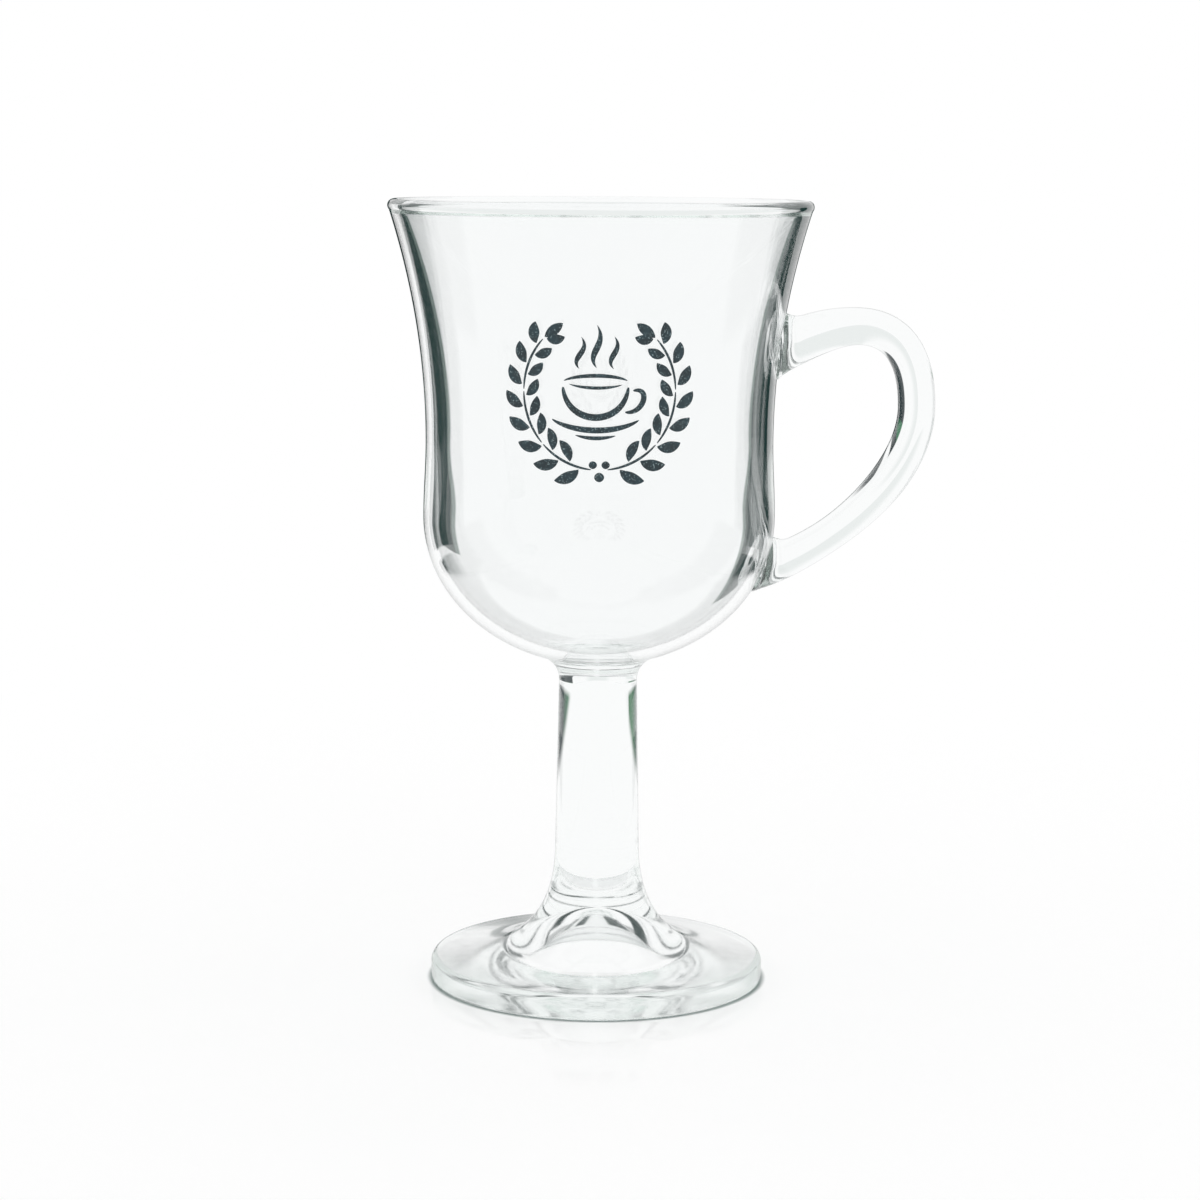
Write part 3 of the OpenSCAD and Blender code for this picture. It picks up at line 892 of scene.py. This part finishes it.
# Cards that solid glass sees: turns from the X axis towards the back, and rises. The colour changes from
# the outer to the inner one over the turns of the blend, and the inner one only shows at its own rises.
leftCard = {
    "turns": (8.0, 49.0),
    "turnSoft": 1.0,
    "rises": (-15.0, -7.5),
    "riseSoft": 1.0,
    "blend": (22.0, 38.0),
    "outer": "#1F4A3C",
    "inner": "#2B7048",
    "innerRises": (-90.0, 90.0),
    "innerSoft": 0.5,
}
rightCard = {
    "turns": (8.0, 60.0),
    "turnSoft": 1.0,
    "rises": (-33.0, 24.0),
    "riseSoft": 4.0,
    "blend": (36.0, 54.0),
    "outer": "#12282C",
    "inner": "#3C7A58",
    "innerRises": (-14.5, -9.3),
    "innerSoft": 0.5,
}


def makeRoom():
    # White all round for the camera and for the light on matt things, and the bands and cards over it
    world = bpy.data.worlds.new("studio")
    bpy.context.scene.world = world
    world.use_nodes = True
    tree = world.node_tree
    tree.nodes.clear()
    way = addNode(tree, "ShaderNodeTexCoord", out="Generated")
    x, y, z = addNode(tree, "ShaderNodeSeparateXYZ", {0: way}).outputs
    width = addNode(tree, "ShaderNodeMath", {0: x}, 0, operation="ABSOLUTE")
    # Turns from the right, from the back, and from the X axis on either side, and then the rise
    angles = (
        addNode(tree, "ShaderNodeMath", {0: y, 1: x}, 0, operation="ARCTAN2"),
        addNode(tree, "ShaderNodeMath", {0: x, 1: y}, 0, operation="ARCTAN2"),
        addNode(tree, "ShaderNodeMath", {0: y, 1: width}, 0, operation="ARCTAN2"),
        addNode(tree, "ShaderNodeMath", {0: z}, 0, operation="ARCSINE"),
    )
    turn, backTurn, sideTurn, rise = (
        addNode(tree, "ShaderNodeMath", {0: angle}, 0, operation="DEGREES") for angle in angles)
    offMain = addNode(tree, "ShaderNodeMath", {0: turn, 1: room["mainTurn"] / 2}, 0, operation="PINGPONG")
    right = addNode(tree, "ShaderNodeMath", {0: x, 1: 0.0}, 0, operation="GREATER_THAN")
    left = addNode(tree, "ShaderNodeMath", {0: 1.0, 1: right}, 0, operation="SUBTRACT")
    hollow, solid, mirrored, inner = rayKinds(tree)

    aheadHalf = room["aheadHalf"]
    ahead = allOf(tree, solid, between(tree, offMain, -aheadHalf, aheadHalf, room["aheadSoft"]))
    halfDark = allOf(tree, hollow, between(tree, offMain, *room["halfBand"], room["bandSoft"]))
    rightDark = allOf(tree, right, between(tree, offMain, *room["rightBand"], room["bandSoft"]))
    dark = anyOf(tree, rightDark, between(tree, offMain, *room["darkBand"], room["bandSoft"]))
    dark = allOf(tree, hollow, dark)
    soft = room["windowSoft"]
    for windows, seen in ((room["mirrorDark"], mirrored), (room["innerDark"], inner)):
        for turnLow, turnHigh, riseLow, riseHigh, strength in windows:
            across = between(tree, backTurn, turnLow, turnHigh, soft)
            window = allOf(tree, seen, strength, across, between(tree, rise, riseLow, riseHigh, soft))
            dark = anyOf(tree, dark, window)

    # Each layer covers the ones before it
    layers = [
        (ahead, linear(room["aheadColour"])),
        (halfDark, linear(room["halfColour"])),
        (dark, linear(room["bandColour"])),
    ]
    for card, side in ((leftCard, left), (rightCard, right)):
        across = between(tree, sideTurn, *card["turns"], card["turnSoft"])
        place = allOf(tree, solid, side, across, between(tree, rise, *card["rises"], card["riseSoft"]))
        start, end = card["blend"]
        blend = addNode(tree, "ShaderNodeMapRange", {
            "Value": sideTurn, "From Min": start, "From Max": end}, "Result")
        blend = allOf(tree, blend, between(tree, rise, *card["innerRises"], card["innerSoft"]))
        shade = addNode(tree, "ShaderNodeMix", {
            "Factor": blend, "A": linear(card["outer"]), "B": linear(card["inner"])},
            "Result", data_type="RGBA")
        layers.append((place, shade))
    colour = (1, 1, 1, 1)
    for share, over in layers:
        colour = addNode(tree, "ShaderNodeMix", {
            "Factor": share, "A": colour, "B": over}, "Result", data_type="RGBA")
    light = addNode(tree, "ShaderNodeBackground", {"Color": colour, "Strength": 1.0}, 0)
    addNode(tree, "ShaderNodeOutputWorld", {"Surface": light})
    print("room made")


# Thick glass needs many bounces before it turns clear, and no softening of sharp light paths under the foot
lightPaths = {
    "max_bounces": 128,
    "glossy_bounces": 128,
    "transmission_bounces": 128,
    "transparent_max_bounces": 64,
    "blur_glossy": 0.0,
}

# A long lens a little above the rim, tipped down and turned a third of a degree about its own axis
view = {
    "place": (0.294, -567.1, 159.3),
    "pitch": 8.564,
    "roll": 0.364,
    "focalPixels": 2992.7,
    "framePixels": 1200,
    "sensorWidth": 36,
}


def makeCamera():
    pitch, roll = radians(view["pitch"]), radians(view["roll"])
    ahead = np.array([0, cos(pitch), -sin(pitch)])
    right = np.array([1.0, 0, 0])
    up = np.cross(right, ahead)
    rolledRight = cos(roll) * right + sin(roll) * up
    rolledUp = cos(roll) * up - sin(roll) * right
    data = bpy.data.cameras.new("camera")
    data.sensor_width = view["sensorWidth"]
    data.lens = view["focalPixels"] / view["framePixels"] * data.sensor_width
    camera = bpy.data.objects.new("camera", data)
    placed = np.eye(4)
    placed[:3, :3] = np.stack([rolledRight, rolledUp, -ahead], -1)
    placed[:3, 3] = np.array(view["place"]) * mm
    camera.matrix_world = Matrix(placed.tolist())
    bpy.context.scene.collection.objects.link(camera)
    bpy.context.scene.camera = camera
    print("camera placed")


# Assembly

glass = pressedGlass("pressed soda-lime glass", glassLook)
footGlass = pressedGlass("pressed soda-lime glass, worn foot", footLook)
ink = firedInk("fired ceramic enamel ink", inkLook)
print("materials made: two kinds of glass and the ink")

bowlShape, bowlWeld = bowlRings()
stemLine, stemDepth = stemOutline()
footLine, footDepth = footOutline()
stemWeld = stemDepth[:, None] + np.zeros(stem["around"])
footWeld = footDepth[:, None] + np.zeros(foot["around"])
for name, node, rings, weld, material in (
    ("pressed_bowl", "bowl", bowlShape + lift, bowlWeld, glass),
    ("loop_handle", "handle", handleRings + lift, handleWeld, glass),
    ("solid_stem", "stem", revolved(stemLine, stem["around"]), stemWeld, glass),
    ("round_foot", "foot", revolved(footLine, foot["around"]), footWeld, footGlass),
):
    piece = closedPiece(name, rings, weld)
    piece.data.materials.append(material)
    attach(piece, bodyName)
    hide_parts(node)

printPiece = closedPiece("front_print", printRings() + lift)
printPiece.data.materials.append(ink)
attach(printPiece, bodyName)

for name, value in lightPaths.items():
    setattr(bpy.context.scene.cycles, name, value)
makeTable()
makeRoom()
makeCamera()
bpy.context.scene.view_settings.view_transform = "Standard"
